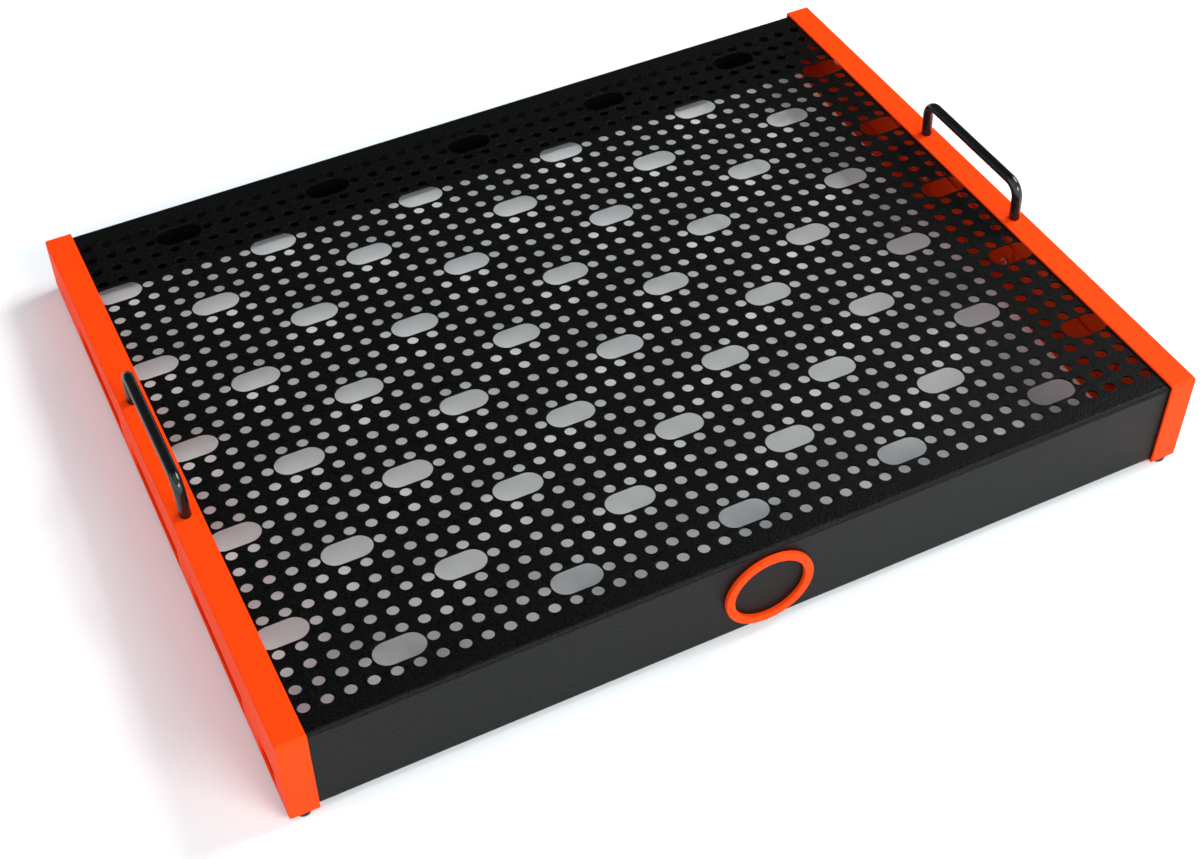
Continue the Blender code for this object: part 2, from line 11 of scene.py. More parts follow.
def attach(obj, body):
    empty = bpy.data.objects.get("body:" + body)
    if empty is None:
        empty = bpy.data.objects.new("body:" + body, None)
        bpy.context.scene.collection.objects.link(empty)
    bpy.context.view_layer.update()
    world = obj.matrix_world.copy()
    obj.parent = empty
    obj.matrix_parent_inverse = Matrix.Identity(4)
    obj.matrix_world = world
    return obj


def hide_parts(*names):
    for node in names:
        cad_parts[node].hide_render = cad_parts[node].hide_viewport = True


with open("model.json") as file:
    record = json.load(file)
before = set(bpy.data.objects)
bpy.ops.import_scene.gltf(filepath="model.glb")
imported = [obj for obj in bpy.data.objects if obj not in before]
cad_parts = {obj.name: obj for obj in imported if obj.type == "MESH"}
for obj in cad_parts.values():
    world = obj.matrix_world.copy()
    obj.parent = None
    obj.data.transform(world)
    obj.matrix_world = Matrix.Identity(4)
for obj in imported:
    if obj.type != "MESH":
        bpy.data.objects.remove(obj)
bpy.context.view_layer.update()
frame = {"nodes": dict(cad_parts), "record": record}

MM = 0.001

# ---- the part's own sizes ---------------------------------------------------------------
HALF_WIDTH = 266.7 * MM
HALF_DEPTH = 210.0 * MM
FOOT = 3.0 * MM                  # rubber below the brackets
FRONT_HEIGHT = 63.0 * MM         # of the brackets, without the feet
REAR_HEIGHT = 37.0 * MM
SHEET = 1.5 * MM
GAP = 0.3 * MM                   # air between pieces that touch
TILT = math.atan((FRONT_HEIGHT - REAR_HEIGHT) / (2 * HALF_DEPTH))
LIP_MID_Z = FOOT + (FRONT_HEIGHT + REAR_HEIGHT) / 2

PITCH = 12.0 * MM                # punching grid of the deck
HOLE_R = 3.27 * MM
HOLE_COLUMNS = range(-21, 21)
HOLE_ROWS = range(-16, 17)
SLOT_R = 8.0 * MM
SLOT_ROWS = 11
SCREW_HOLE_R = 2.5 * MM          # in the deck, under the lips
DECK_HALF_WIDTH = HALF_WIDTH - SHEET - GAP
WALL_Y = HALF_DEPTH - SHEET - GAP
DECK_DROP = SHEET + GAP          # deck's top face below the lip's top face
UNDER_DECK = -(DECK_DROP + SHEET + GAP)
DECK_BEND = 2.5 * MM
WALL_BOTTOM = FOOT + 1.0 * MM
NOTCH_TOP = FOOT + SHEET + 2.9 * MM
RETURN = 18.0 * MM               # flanges turned in at the feet of the deck's walls

FLANGE = 16.0 * MM
NOTCH_X = HALF_WIDTH - FLANGE - GAP
BRACKET_BEND = 1.3 * MM
TOE_CORNER = 1.6 * MM
LIP_CORNER = 2.0 * MM
DECK_STUD_X = 257.0 * MM
DECK_STUD_V = (-150 * MM, -90 * MM, 90 * MM, 150 * MM)
M3_R = 1.5 * MM
M4_R = 2.0 * MM

HANDLE_X = HALF_WIDTH - 8.0 * MM
HANDLE_V = (-48 * MM, 48 * MM)
HANDLE_REACH = 48                # millimetres from the middle to a post
HANDLE_HEIGHT = 24               # millimetres from the lip to the rod's centre line
HANDLE_BEND = 9.0 * MM
ROD_R = 3.2 * MM

BAYS = ((17.5, 24.0), (65.0, 84.0), (170.0, 84.0), (275.0, 84.0))   # start and width
BAY_SILL = 3 * MM                # above the bracket's underside
BAY_TOP = 20 * MM
BAY_CORNER = 1.0 * MM
BAY_STUD_INSET = 3.6             # millimetres beyond the bay's end
BAY_STUD_Z = FOOT + 11.5 * MM
PLATE_OVERLAP = 7.0              # millimetres beyond the bay's end
PLATE_HEIGHT = 22 * MM
PLATE_CORNER = 1.5 * MM

FOOT_X = HALF_WIDTH - 8.3 * MM
FOOT_Y = HALF_DEPTH - 5.0 * MM

BADGE_Z = FOOT + 30.6 * MM
BADGE_STUD_X = 23.3 * MM

# coating's rounding of a punched edge
RIM = 0.28 * MM
WINDOW_RIM = 0.22 * MM
HOLE_RIM = 0.15 * MM
FLANGE_RIM = 0.25 * MM
ROUND = 0.29                     # share of a rim at its halfway ring: 1 - cos 45 degrees


def lip_z(y, below=0.0):
    return LIP_MID_Z - y * math.tan(TILT) - below / math.cos(TILT)


SLOPE = Matrix.Translation((0, 0, LIP_MID_Z)) @ Matrix.Rotation(-TILT, 4, "X")


def on_deck(u, v, above=0.0):
    return SLOPE @ Matrix.Translation((u, v, above))


# ---- materials --------------------------------------------------------------------------
def grey(value):
    return (value, value, value)


def add_noise(tree, scale, detail=2.0, rough=0.5):
    place = tree.nodes.new("ShaderNodeTexCoord")
    noise = tree.nodes.new("ShaderNodeTexNoise")
    noise.inputs["Scale"].default_value = scale
    noise.inputs["Detail"].default_value = detail
    noise.inputs["Roughness"].default_value = rough
    tree.links.new(place.outputs["Object"], noise.inputs["Vector"])
    return noise.outputs["Fac"]


def add_ramp(tree, source, *stops):
    """Colour ramp through (position, colour) stops."""
    ramp = tree.nodes.new("ShaderNodeValToRGB")
    elements = ramp.color_ramp.elements
    while len(elements) < len(stops):
        elements.new(0.5)
    for element, (position, colour) in zip(elements, stops):
        element.position = position
        element.color = (*colour, 1.0)
    tree.links.new(source, ramp.inputs["Fac"])
    return ramp.outputs["Color"]


def add_bump(tree, shader, height, strength, distance):
    bump = tree.nodes.new("ShaderNodeBump")
    bump.inputs["Strength"].default_value = strength
    bump.inputs["Distance"].default_value = distance
    tree.links.new(height, bump.inputs["Height"])
    tree.links.new(bump.outputs["Normal"], shader.inputs["Normal"])


def new_material(name, uniform, colour, roughness, bump):
    """Procedural material: sockets set to one value, then noise for colour, gloss and bump.

    colour is a noise and its two stops, roughness the same or a plain number, and bump a
    noise, a strength and a distance. A noise given as None is the colour's own.
    """
    material = bpy.data.materials.new(name)
    material.use_nodes = True
    tree = material.node_tree
    shader = tree.nodes["Principled BSDF"]
    for socket, value in uniform.items():
        shader.inputs[socket].default_value = value
    noise, *stops = colour
    base = add_noise(tree, *noise)
    tree.links.new(add_ramp(tree, base, *stops), shader.inputs["Base Color"])
    if isinstance(roughness, float):
        shader.inputs["Roughness"].default_value = roughness
    else:
        noise, *stops = roughness
        source = add_noise(tree, *noise) if noise else base
        tree.links.new(add_ramp(tree, source, *stops), shader.inputs["Roughness"])
    if bump:
        noise, strength, distance = bump
        add_bump(tree, shader, add_noise(tree, *noise) if noise else base, strength, distance)
    return material


def powder_coat(name, dark, light, rough, grain, bump, shine):
    """Sprayed powder: a fine pebbled skin whose grains differ a little in colour and gloss."""
    return new_material(name, {"Specular IOR Level": shine},
                        ((grain, 3.0, 0.6), (0.38, dark), (0.62, light)),
                        (None, (0.3, grey(rough[0])), (0.7, grey(rough[1]))),
                        (None, *bump))


deck_black = powder_coat("deck_powder", dark=grey(0.0004), light=(0.0050, 0.0050, 0.0048),
                         rough=(0.26, 0.38), grain=850.0, bump=(0.8, 0.0005), shine=0.095)
orange = powder_coat("bracket_powder", dark=(0.91, 0.049, 0.0020), light=(0.95, 0.054, 0.0027),
                     rough=(0.50, 0.62), grain=1500.0, bump=(0.35, 0.0003), shine=0.07)
handle_black = new_material(
    "handle_gloss", {},
    ((60.0, 2.0), (0.3, (0.0030, 0.0030, 0.0032)), (0.7, (0.0042, 0.0042, 0.0044))),
    ((120.0, 4.0, 0.6), (0.3, grey(0.16)), (0.7, grey(0.26))),
    ((500.0, 1.0), 0.12, 0.0002))
zinc_steel = new_material(
    "fastener_zinc", {"Metallic": 1.0},
    ((300.0, 4.0, 0.6), (0.3, (0.52, 0.53, 0.56)), (0.7, (0.68, 0.69, 0.70))),
    (None, (0.3, grey(0.28)), (0.7, grey(0.42))),
    ((2500.0, 2.0), 0.15, 0.0001))
foot_rubber = new_material(
    "foot_rubber", {},
    ((350.0, 4.0, 0.6), (0.35, grey(0.010)), (0.75, (0.028, 0.027, 0.026))),
    (None, (0.3, grey(0.7)), (0.7, grey(0.9))),
    ((3000.0, 2.0), 0.2, 0.0001))
floor_paper = new_material(
    "floor_paper", {"Specular IOR Level": 0.1, "Emission Color": (0.90, 0.97, 1.0, 1.0),
                    "Emission Strength": 0.04},
    ((900.0, 3.0), (0.3, grey(0.90)), (0.7, grey(0.92))), 0.9, None)
SLOTS = {"deck_black": deck_black, "bracket_orange": orange, "handle_black": handle_black,
         "zinc_steel": zinc_steel, "rubber": foot_rubber}


# ---- mesh helpers -----------------------------------------------------------------------
def finish_mesh(shape, name, slot, node, sharp):
    """Piece that stands for a CAD node, with its slot's material and edges sharp above an angle."""
    bmesh.ops.recalc_face_normals(shape, faces=shape.faces)
    mesh = bpy.data.meshes.new(name)
    shape.to_mesh(mesh)
    shape.free()
    mesh.shade_smooth()
    mesh.set_sharp_from_angle(angle=math.radians(sharp))
    mesh.materials.append(SLOTS[slot])
    piece = bpy.data.objects.new(name, mesh)
    bpy.context.scene.collection.objects.link(piece)
    flatten = piece.modifiers.new("flat_faces_stay_flat", "WEIGHTED_NORMAL")
    flatten.weight = 100
    flatten.keep_sharp = True
    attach(piece, "root")
    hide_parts(node)


# An outline is a function of how far it is grown; it gives the points of a closed loop.
def circle(centre, radius, steps):
    def points(grow):
        return [(centre[0] + (radius + grow) * math.cos(2 * math.pi * step / steps),
                 centre[1] + (radius + grow) * math.sin(2 * math.pi * step / steps))
                for step in range(steps)]
    return points


def stadium(centre, length, radius, steps):
    def points(grow):
        outline = []
        for side in (1, -1):
            for step in range(steps + 1):
                angle = -side * math.pi / 2 + math.pi * step / steps
                outline.append((centre[0] + side * length / 2 + (radius + grow) * math.cos(angle),
                                centre[1] + (radius + grow) * math.sin(angle)))
        return outline
    return points


def box_outline(low, high, corner, steps):
    """Rectangle with rounded corners, wound like circle()."""
    def points(grow):
        outline = []
        radius = corner + grow
        for turn, (x, y) in enumerate(((high[0] - corner, high[1] - corner),
                                       (low[0] + corner, high[1] - corner),
                                       (low[0] + corner, low[1] + corner),
                                       (high[0] - corner, low[1] + corner))):
            for step in range(steps + 1):
                angle = math.pi / 2 * (turn + step / steps)
                outline.append((x + radius * math.cos(angle), y + radius * math.sin(angle)))
        return outline
    return points


def fill(shape, boundary, holes):
    """Flat face between a convex boundary and convex holes, each an outline and its vertices."""
    verts = []
    flat = []
    edges = []
    owner = []
    for number, (outline, loop) in enumerate([boundary] + holes):
        start = len(flat)
        flat += [Vector(point) for point in outline]
        verts += loop
        owner += [number] * len(loop)
        edges += [(start + index, start + (index + 1) % len(loop)) for index in range(len(loop))]
    _, _, faces, origin, _, _ = delaunay_2d_cdt(flat, edges, [], 0, 1e-7)
    for face in faces:
        sources = [origin[index][0] for index in face]
        owners = {owner[source] for source in sources}
        if len(owners) == 1 and owners != {0}:
            continue
        shape.faces.new([verts[source] for source in sources])


def bridge(shape, first, second):
    """Band of faces between two closed loops of as many vertices."""
    count = len(first)
    for index in range(count):
        after = (index + 1) % count
        shape.faces.new((first[index], first[after], second[after], second[index]))


def bridge_all(shape, loops):
    for first, second in zip(loops, loops[1:]):
        bridge(shape, first, second)


def new_loop(shape, place, outline, depth):
    return [shape.verts.new(place(point[0], point[1], depth)) for point in outline]


def polar_loop(shape, place, radius, z, steps):
    return [shape.verts.new(place @ Vector((radius * math.cos(2 * math.pi * step / steps),
                                            radius * math.sin(2 * math.pi * step / steps), z)))
            for step in range(steps)]


def punch(shape, place, holes, thickness, rim=RIM):
    """Rounded walls of the holes; returns the loops that meet the two faces of the sheet."""
    top, bottom = [], []
    for hole in holes:
        wide = hole(rim)
        loops = [new_loop(shape, place, wide, 0.0),
                 new_loop(shape, place, hole(ROUND * rim), ROUND * rim),
                 new_loop(shape, place, hole(0.0), rim),
                 new_loop(shape, place, hole(0.0), thickness - rim),
                 new_loop(shape, place, wide, thickness)]
        bridge_all(shape, loops)
        top.append((wide, loops[0]))
        bottom.append((wide, loops[-1]))
    return top, bottom


def arc(before, corner, after, radius, steps):
    """Points of a rounded corner from one side to the other, each with its outward direction."""
    back = (before - corner).normalized()
    forward = (after - corner).normalized()
    half = back.angle(forward) / 2
    reach = radius / math.tan(half)
    centre = corner + (back + forward).normalized() * radius / math.sin(half)
    start = corner + back * reach - centre
    turn = math.pi - 2 * half
    sign = 1 if start.cross(corner + forward * reach - centre) > 0 else -1
    points = []
    for step in range(steps + 1):
        angle = sign * turn * step / steps
        spun = Vector((start.x * math.cos(angle) - start.y * math.sin(angle),
                       start.x * math.sin(angle) + start.y * math.cos(angle)))
        points.append((centre + spun, spun.normalized()))
    return points


# ---- deck -------------------------------------------------------------------------------
def slot_centres():
    centres = []
    for row in range(SLOT_ROWS):
        count = 5 if row % 2 == 0 else 6
        for column in range(count):
            centres.append(((column - (count - 1) / 2) * 8 * PITCH,
                            (row - SLOT_ROWS // 2) * 3 * PITCH))
    return centres


def deck_holes():
    taken = set()
    holes = []
    for u, v in slot_centres():
        holes.append(stadium((u, v), PITCH, SLOT_R, 12))
        for end in (-0.5, 0.5):
            taken.add((round(u / PITCH + end, 1), round(v / PITCH)))
    for column in HOLE_COLUMNS:
        for row in HOLE_ROWS:
            if (column + 0.5, row) not in taken:
                holes.append(circle(((column + 0.5) * PITCH, row * PITCH), HOLE_R, 20))
    for side in (-1, 1):
        for v in HANDLE_V:
            holes.append(circle((side * HANDLE_X, v), SCREW_HOLE_R, 16))
        for v in DECK_STUD_V:
            holes.append(circle((side * DECK_STUD_X, v), SCREW_HOLE_R, 16))
    return holes


def deck():
    shape = bmesh.new()

    def place(u, v, depth):
        return on_deck(u, v, -DECK_DROP - depth) @ Vector((0, 0, 0))

    top, bottom = punch(shape, place, deck_holes(), SHEET)

    # the flat top between the two folds
    front_top = Vector((-WALL_Y, lip_z(-WALL_Y, DECK_DROP)))
    rear_top = Vector((WALL_Y, lip_z(WALL_Y, DECK_DROP)))
    width = DECK_HALF_WIDTH
    folds = []
    for end, corner, other in ((-1, front_top, rear_top), (1, rear_top, front_top)):
        foot = Vector((end * WALL_Y, WALL_BOTTOM))
        inward = Vector((end * (WALL_Y - RETURN), WALL_BOTTOM))
        upper_fold = arc(other, corner, foot, DECK_BEND, 8)
        lower_fold = arc(corner, foot, inward, DECK_BEND, 6)
        folds.append((end, upper_fold, lower_fold, inward))
    starts = [SLOPE.inverted() @ Vector((0, fold[1][0][0].x, fold[1][0][0].y)) for fold in folds]
    corners = ((-width, starts[0].y), (width, starts[0].y),
               (width, starts[1].y), (-width, starts[1].y))
    upper = new_loop(shape, place, corners, 0.0)
    lower = new_loop(shape, place, corners, SHEET)
    fill(shape, (corners, upper), top)
    fill(shape, (corners, lower), bottom)
    for first, second in ((1, 2), (3, 0)):
        shape.faces.new((upper[first], upper[second], lower[second], lower[first]))

    def row(half, outer, inner):
        """Cross-section of the sheet, seen along the fold, at its outer and inner points."""
        return [shape.verts.new((x, point.x, point.y))
                for x, point in ((-half, outer), (half, outer), (half, inner), (-half, inner))]

    for (end, upper_fold, lower_fold, inward), (left, right) in zip(folds, ((0, 1), (3, 2))):
        rows = [[upper[left], upper[right], lower[right], lower[left]]]
        for point, normal in upper_fold[1:]:
            rows.append(row(width, point, point - normal * SHEET))
        y_out = end * WALL_Y
        y_in = end * (WALL_Y - SHEET)
        wide = row(width, Vector((y_out, NOTCH_TOP)), Vector((y_in, NOTCH_TOP)))
        rows.append(wide)
        bridge_all(shape, rows)
        # shoulders of the notches, then the narrower foot of the wall and its return flange
        narrow = row(NOTCH_X, Vector((y_out, NOTCH_TOP)), Vector((y_in, NOTCH_TOP)))
        shape.faces.new((wide[0], narrow[0], narrow[3], wide[3]))
        shape.faces.new((narrow[1], wide[1], wide[2], narrow[2]))
        rows = [narrow]
        for point, normal in lower_fold:
            rows.append(row(NOTCH_X, point, point - normal * SHEET))
        tip = Vector((inward.x + end * RIM, inward.y))
        rows.append(row(NOTCH_X, tip, tip + Vector((0, SHEET))))
        rows.append(row(NOTCH_X, inward + Vector((0, RIM)), inward + Vector((0, SHEET - RIM))))
        bridge_all(shape, rows)
        shape.faces.new(rows[-1])
    finish_mesh(shape, "deck_sheet", "deck_black", "deck_panel", 40.0)


# ---- brackets ---------------------------------------------------------------------------
def bay_middle(start, width):
    return -HALF_DEPTH + (start + width / 2) * MM


def web_stud_places(side, start, width):
    """Feet of a bay's two studs on the web's inner face, with Z pointing inwards."""
    reach = (width / 2 + BAY_STUD_INSET) * MM
    inwards = Matrix.Rotation(-side * math.pi / 2, 4, "Y")
    return [Matrix.Translation((side * (HALF_WIDTH - SHEET),
                                bay_middle(start, width) + end * reach, BAY_STUD_Z)) @ inwards
            for end in (-1, 1)]


def bracket(side, name):
    """Shallow tray on its side: the web, with a flange turned inwards all round it."""
    edge = HALF_DEPTH
    corners = [Vector(point) for point in ((-edge, FOOT), (edge, FOOT), (edge, lip_z(edge)),
                                           (-edge, lip_z(-edge)))]
    outline = []
    for index, corner_r in enumerate((TOE_CORNER, TOE_CORNER, LIP_CORNER, LIP_CORNER)):
        outline += arc(corners[index - 1], corners[index], corners[(index + 1) % 4], corner_r, 8)
    shape = bmesh.new()

    def place(y, z, depth):
        return Vector((side * (HALF_WIDTH - depth), y, z))

    def inset(amount):
        return [tuple(point - normal * amount) for point, normal in outline]

    def ring(amount, depth):
        return [shape.verts.new(place(*(point - normal * amount), depth))
                for point, normal in outline]

    # the fold at the web, the flanges' rounded edge, and the web's inner face
    rings = []
    bend_steps = 6
    for step in range(bend_steps + 1):
        angle = math.pi / 2 * step / bend_steps
        rings.append(ring(BRACKET_BEND - BRACKET_BEND * math.sin(angle),
                          BRACKET_BEND - BRACKET_BEND * math.cos(angle)))
    rim = FLANGE_RIM
    for amount, back in ((0.0, rim), (ROUND * rim, ROUND * rim), (rim, 0.0), (SHEET - rim, 0.0),
                         (SHEET - ROUND * rim, ROUND * rim), (SHEET, rim)):
        rings.append(ring(amount, FLANGE - back))
    rings.append(ring(SHEET, SHEET))
    bridge_all(shape, rings)

    windows = []
    for start, width in BAYS:
        front = -HALF_DEPTH + start * MM
        windows.append(box_outline((front, FOOT + BAY_SILL), (front + width * MM, FOOT + BAY_TOP),
                                   BAY_CORNER, 4))
    top, bottom = punch(shape, place, windows, SHEET, WINDOW_RIM)
    fill(shape, (inset(BRACKET_BEND), rings[0]), top)
    fill(shape, (inset(SHEET), rings[-1]), bottom)
    down = Matrix.Translation((0, 0, -SHEET)) @ Matrix.Rotation(math.pi, 4, "X")
    for v in DECK_STUD_V:
        stud(shape, on_deck(side * DECK_STUD_X, v) @ down, M4_R, 5.0 * MM, 0.7 * MM)
    for start, width in BAYS:
        for place_stud in web_stud_places(side, start, width):
            stud(shape, place_stud, M3_R, 5.5 * MM, 0.5 * MM)
    finish_mesh(shape, name + "_shell", "bracket_orange", name, 35.0)


# ---- turned and other small pieces ------------------------------------------------------
def in_metres(profile):
    return [(radius * MM, z * MM) for radius, z in profile]


def turned(shape, place, profile, steps):
    """Closed skin turned about place's Z; the profile runs from axis to axis, or round."""
    closed = profile[0] == profile[-1]
    rings = []
    for radius, z in profile[:-1] if closed else profile:
        if radius == 0:
            rings.append([shape.verts.new(place @ Vector((0, 0, z)))])
        else:
            rings.append(polar_loop(shape, place, radius, z, steps))
    pairs = list(zip(rings, rings[1:]))
    if closed:
        pairs.append((rings[-1], rings[0]))
    for first, second in pairs:
        if len(first) == 1 or len(second) == 1:
            tip, ring = (first[0], second) if len(first) == 1 else (second[0], first)
            for step in range(steps):
                shape.faces.new((tip, ring[step], ring[(step + 1) % steps]))
        else:
            bridge(shape, first, second)


def thread(radius, start, stop, pitch):
    """Profile points of a screw thread's crests and roots from one height to another."""
    points = []
    count = max(1, int(abs(stop - start) / pitch))
    step = (stop - start) / count
    root = radius * 0.84
    for turn in range(count):
        z = start + turn * step
        points += [(root, z + 0.1 * step), (radius, z + 0.4 * step),
                   (radius, z + 0.6 * step), (root, z + 0.9 * step)]
    return points


def stud(shape, place, radius, length, pitch):
    """Threaded stud from a sheet's inner face, buried a little in it."""
    bury = -0.6 * MM
    root = radius * 0.84
    profile = [(0, bury), (root, bury), (root, 0)]
    profile += thread(radius, 0.0, length - 0.5 * MM, pitch)
    profile += [(root, length - 0.4 * MM), (radius * 0.7, length), (0, length)]
    turned(shape, place, profile, 20)


def socket_screw(shape, place, radius, head_r, head_h, length):
    """Low round head below z = 0 with a hexagonal socket, shank up to `length`."""
    steps = 24
    profile = [(radius * 0.7, length)]
    profile += thread(radius, length - 0.3 * MM, 3.0 * MM, 0.7 * MM)
    profile += [(radius, 2.6 * MM), (radius, 0.15 * MM), (radius + 0.15 * MM, 0),
                (head_r - 0.1 * MM, 0), (head_r, -0.15 * MM)]
    flat_r = 0.62 * head_r
    for step in range(1, 7):
        angle = math.pi / 2 * step / 6
        profile.append((flat_r + (head_r - flat_r) * math.cos(angle),
                        -0.3 * MM - (head_h - 0.3 * MM) * math.sin(angle)))
    rings = [polar_loop(shape, place, r, z, steps) for r, z in profile]
    shape.faces.new(rings[0])
    bridge_all(shape, rings)

    key = 1.45 * MM
    mouth_r = key * 1.06
    mouth = polar_loop(shape, place, mouth_r, -head_h, 6)
    wall = polar_loop(shape, place, key, -head_h + 0.08 * MM, 6)
    bottom = polar_loop(shape, place, key, -head_h + 1.3 * MM, 6)
    tip = shape.verts.new(place @ Vector((0, 0, -head_h + 1.6 * MM)))
    bridge_all(shape, [mouth, wall, bottom])
    for k in range(6):
        shape.faces.new((bottom[k], bottom[(k + 1) % 6], tip))
    middle = (0.0, 0.0)
    fill(shape, (circle(middle, flat_r, steps)(0.0), rings[-1]),
         [(circle(middle, mouth_r, 6)(0.0), mouth)])


def hex_nut(shape, place, across, height, bore):
    """Chamfered hexagon nut from z = 0 up, with a threaded bore."""
    steps = 48
    apothem = across / 2
    chamfer_r = 0.95 * apothem
    mouth_r = bore * 1.12

    def ring(radius_of, z_of):
        """Loop whose radius and height depend on how far out the hexagon reaches there."""
        loop = []
        for k in range(steps):
            angle = 2 * math.pi * (k + 0.5) / steps
            within = (angle + math.pi / 6) % (math.pi / 3) - math.pi / 6
            outer = min(apothem / math.cos(within), apothem * 1.135)
            r = radius_of(outer)
            loop.append(shape.verts.new(place @ Vector((r * math.cos(angle), r * math.sin(angle),
                                                        z_of(outer)))))
        return loop

    def level(radius, z):
        return ring(lambda outer: radius, lambda outer: z)

    def cut(outer):
        return (outer - 0.97 * apothem) * 0.55

    rings = [level(mouth_r, 0.0), level(chamfer_r, 0.0),
             ring(lambda outer: outer, cut),
             ring(lambda outer: outer, lambda outer: height - cut(outer)),
             level(chamfer_r, height), level(mouth_r, height),
             level(bore, height - 0.25 * MM)]
    turns = int((height - 0.5 * MM) / (0.5 * MM))
    for turn in range(turns):
        z = height - 0.25 * MM - (turn + 0.5) * (height - 0.5 * MM) / turns
        rings.append(level(bore * 1.09, z))
        rings.append(level(bore, z - 0.5 * (height - 0.5 * MM) / turns))
    for first, second in zip(rings, rings[1:] + rings[:1]):
        bridge(shape, first, second)


def handle(side, name):
    """Rod bent to a bridge, with a broken edge and a blind threaded hole at each foot."""
    steps = 28
    low = GAP
    reach, top = HANDLE_REACH, HANDLE_HEIGHT
    path = []
    for first, corner, last in (((-reach, low / MM), (-reach, top), (reach, top)),
                                ((-reach, top), (reach, top), (reach, low / MM))):
        points = [Vector(point) * MM for point in (first, corner, last)]
        path += arc(*points, HANDLE_BEND, 12)
    shape = bmesh.new()

    def ring(point, outwards, radius):
        """Ring square to the rod whose second axis is `outwards` in the rod's own plane."""
        loop = []
        for step in range(steps):
            angle = 2 * math.pi * step / steps
            across = radius * math.cos(angle)
            within = point + outwards * radius * math.sin(angle)
            loop.append(shape.verts.new(on_deck(side * HANDLE_X + across, within.x, within.y)
                                        @ Vector((0, 0, 0))))
        return loop

    # from the bottom of the threaded hole, down and round the foot's edge to the rod
    hole_r, hole_top = 2.1 * MM, 8.6 * MM
    foot = ((hole_r, hole_top), (hole_r, low + 0.3 * MM), (2.3 * MM, low),
            (ROD_R - 0.35 * MM, low), (ROD_R - 0.1 * MM, low + 0.1 * MM),
            (ROD_R, low + 0.35 * MM))
    posts = []
    for v, outwards in ((-48.0 * MM, Vector((-1, 0))), (48.0 * MM, Vector((1, 0)))):
        post = [ring(Vector((v, above)), outwards, radius) for radius, above in foot]
        shape.faces.new(post[0])
        posts.append(post)
    middle = [ring(point, normal, ROD_R) for point, normal in path]
    bridge_all(shape, posts[0] + middle + posts[1][::-1])
    finish_mesh(shape, name + "_rod", "handle_black", name, 40.0)


def bay_plate(side, hand, number, start, width):
    """Blanking plate with rounded corners and edges and two stud holes."""
    middle = bay_middle(start, width)
    half = (width / 2 + PLATE_OVERLAP) * MM
    low = FOOT + SHEET + GAP
    outline = box_outline((middle - half, low), (middle + half, low + PLATE_HEIGHT),
                          PLATE_CORNER, 5)
    rim = WINDOW_RIM
    shape = bmesh.new()

    def place(y, z, depth):
        return Vector((side * (HALF_WIDTH - SHEET - GAP - depth), y, z))

    loops = [new_loop(shape, place, outline(grow), depth)
             for grow, depth in ((-rim, 0.0), (-ROUND * rim, ROUND * rim), (0.0, rim),
                                 (0.0, SHEET - rim), (-ROUND * rim, SHEET - ROUND * rim),
                                 (-rim, SHEET))]
    bridge_all(shape, loops)
    reach = (width / 2 + BAY_STUD_INSET) * MM
    holes = [circle((middle + end * reach, BAY_STUD_Z), 1.8 * MM, 16) for end in (-1, 1)]
    top, bottom = punch(shape, place, holes, SHEET, HOLE_RIM)
    fill(shape, (outline(-rim), loops[0]), top)
    fill(shape, (outline(-rim), loops[-1]), bottom)
    node = f"bay_plate_{hand}_{number}"
    finish_mesh(shape, node + "_sheet", "bracket_orange", node, 35.0)


def washer(shape, place, bore, rim, z, thick):
    """Flat ring with broken edges, from z up."""
    edge = 0.12 * MM
    turned(shape, place, ((bore, z + edge), (bore + edge, z), (rim - edge, z), (rim, z + edge),
                          (rim, z + thick - edge), (rim - edge, z + thick),
                          (bore + edge, z + thick), (bore, z + thick - edge),
                          (bore, z + edge)), 40)


def foot_profile():
    """Radii and heights of a rubber foot in millimetres, from its barbed stem to its pad."""
    top, over = (FOOT - GAP) / MM, (FOOT + SHEET + GAP) / MM
    return [(0, over + 2.2), (0.9, over + 2.15), (1.4, over + 1.9), (2.45, over + 0.65),
            (2.6, over + 0.4), (2.55, over + 0.1), (2.4, over), (1.7, over),
            (1.7, top), (4.45, top), (4.68, top - 0.08), (4.75, top - 0.3),
            (4.72, top - 0.8), (4.35, 0.45), (4.15, 0.15), (3.75, 0.0), (0, 0.0)]


